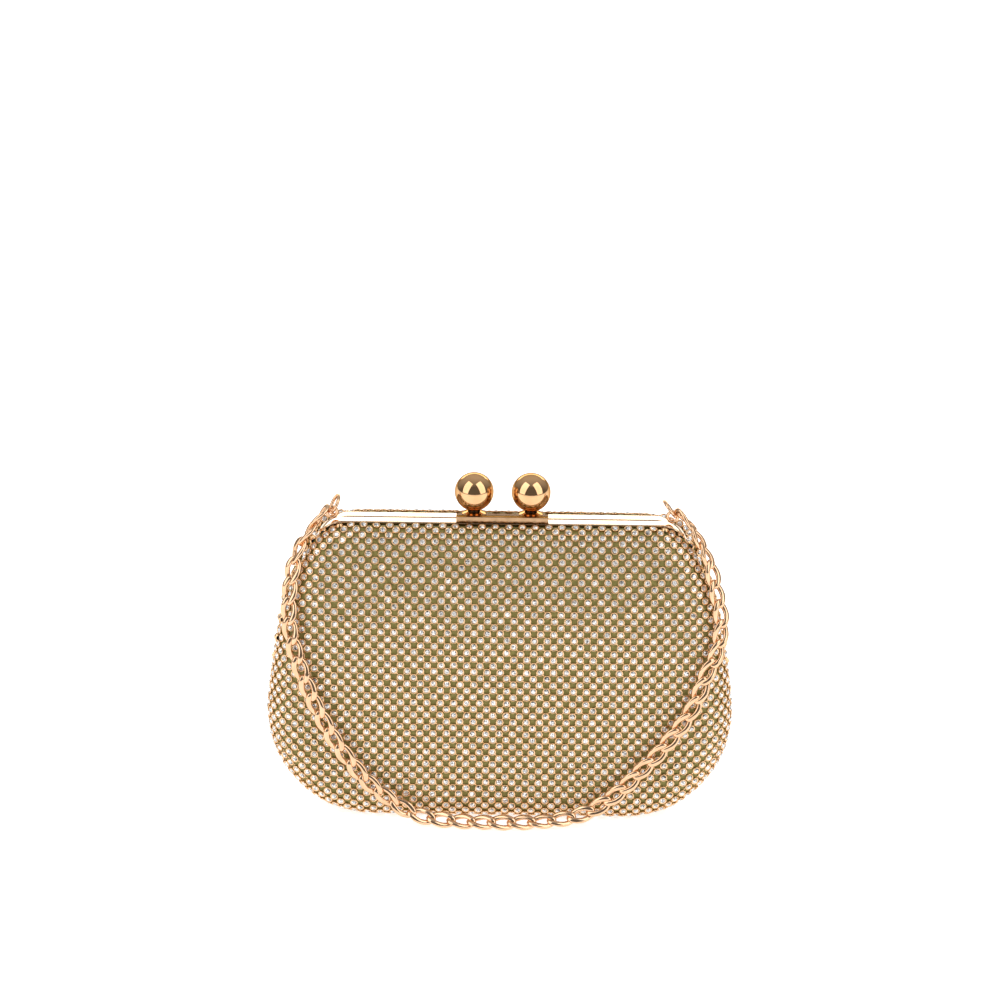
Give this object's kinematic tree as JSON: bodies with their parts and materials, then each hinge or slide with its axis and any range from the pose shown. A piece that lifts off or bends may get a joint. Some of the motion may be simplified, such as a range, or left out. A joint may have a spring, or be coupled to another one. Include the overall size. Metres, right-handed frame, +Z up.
{
  "type": "evening bag",
  "caption": "Puffed frame evening bag in stone-set mesh, with a hinged metal frame, a ball clasp and a curb chain strap.",
  "frame": {"origin": "middle of the bag's base, on the surface it stands on, under the frame's seam", "axes": "+X to the right as the front is seen, the front faces -Y, +Z up; X = 0 is the middle of the bag and Y = 0 its side seam"},
  "size_m": [0.2, 0.0608, 0.1499],
  "materials": {
    "stone_mesh": "gold lame cloth carrying clear round stones in gold cups",
    "lining": "satin weave, soft sheen",
    "board": "matt grey-brown pressed board",
    "frame_gold": "polished pale gold plate",
    "clasp_gold": "polished rose gold plate",
    "chain_gold": "polished rose gold plate",
    "steel": "plain spring steel"
  },
  "bodies": {
    "bag": {"front_panel": "stone_mesh", "back_panel_lower": "stone_mesh", "back_panel_crease": "stone_mesh", "front_lining": "lining", "back_lining_lower": "lining", "back_lining_crease": "lining", "base_board": "board", "front_frame": "frame_gold", "front_clasp_plate": "clasp_gold", "front_ball": "clasp_gold", "front_ball_collar": "clasp_gold", "front_ball_post": "steel", "catch_spring": "steel", "hinge_rivet_left": "frame_gold", "hinge_rivet_right": "frame_gold", "hinge_washer_left": "steel", "hinge_washer_right": "steel", "strap_eyelet_left": "frame_gold", "strap_eyelet_right": "frame_gold"},
    "back_half": {"back_frame": "frame_gold", "back_clasp_plate": "clasp_gold", "back_ball": "clasp_gold", "back_ball_collar": "clasp_gold", "back_ball_post": "steel", "catch_tongue": "steel", "back_panel_upper": "stone_mesh", "back_lining_upper": "lining"},
    "strap": {"chain_strap": "chain_gold", "strap_ring_left": "chain_gold", "strap_ring_right": "chain_gold"}
  },
  "joints": [
    {"name": "frame_opening", "type": "hinge", "parent": "bag", "child": "back_half", "pos_m": [0, 0, 0.09], "axis": [-1, 0, 0], "range_deg": [0, 50], "deforming": ["back_panel_crease", "back_lining_crease"]},
    {"name": "strap_swing", "type": "hinge", "parent": "bag", "child": "strap", "pos_m": [0, -0.0025, 0.1363], "axis": [-1, 0, 0], "range_deg": [0, 165]}
  ]
}
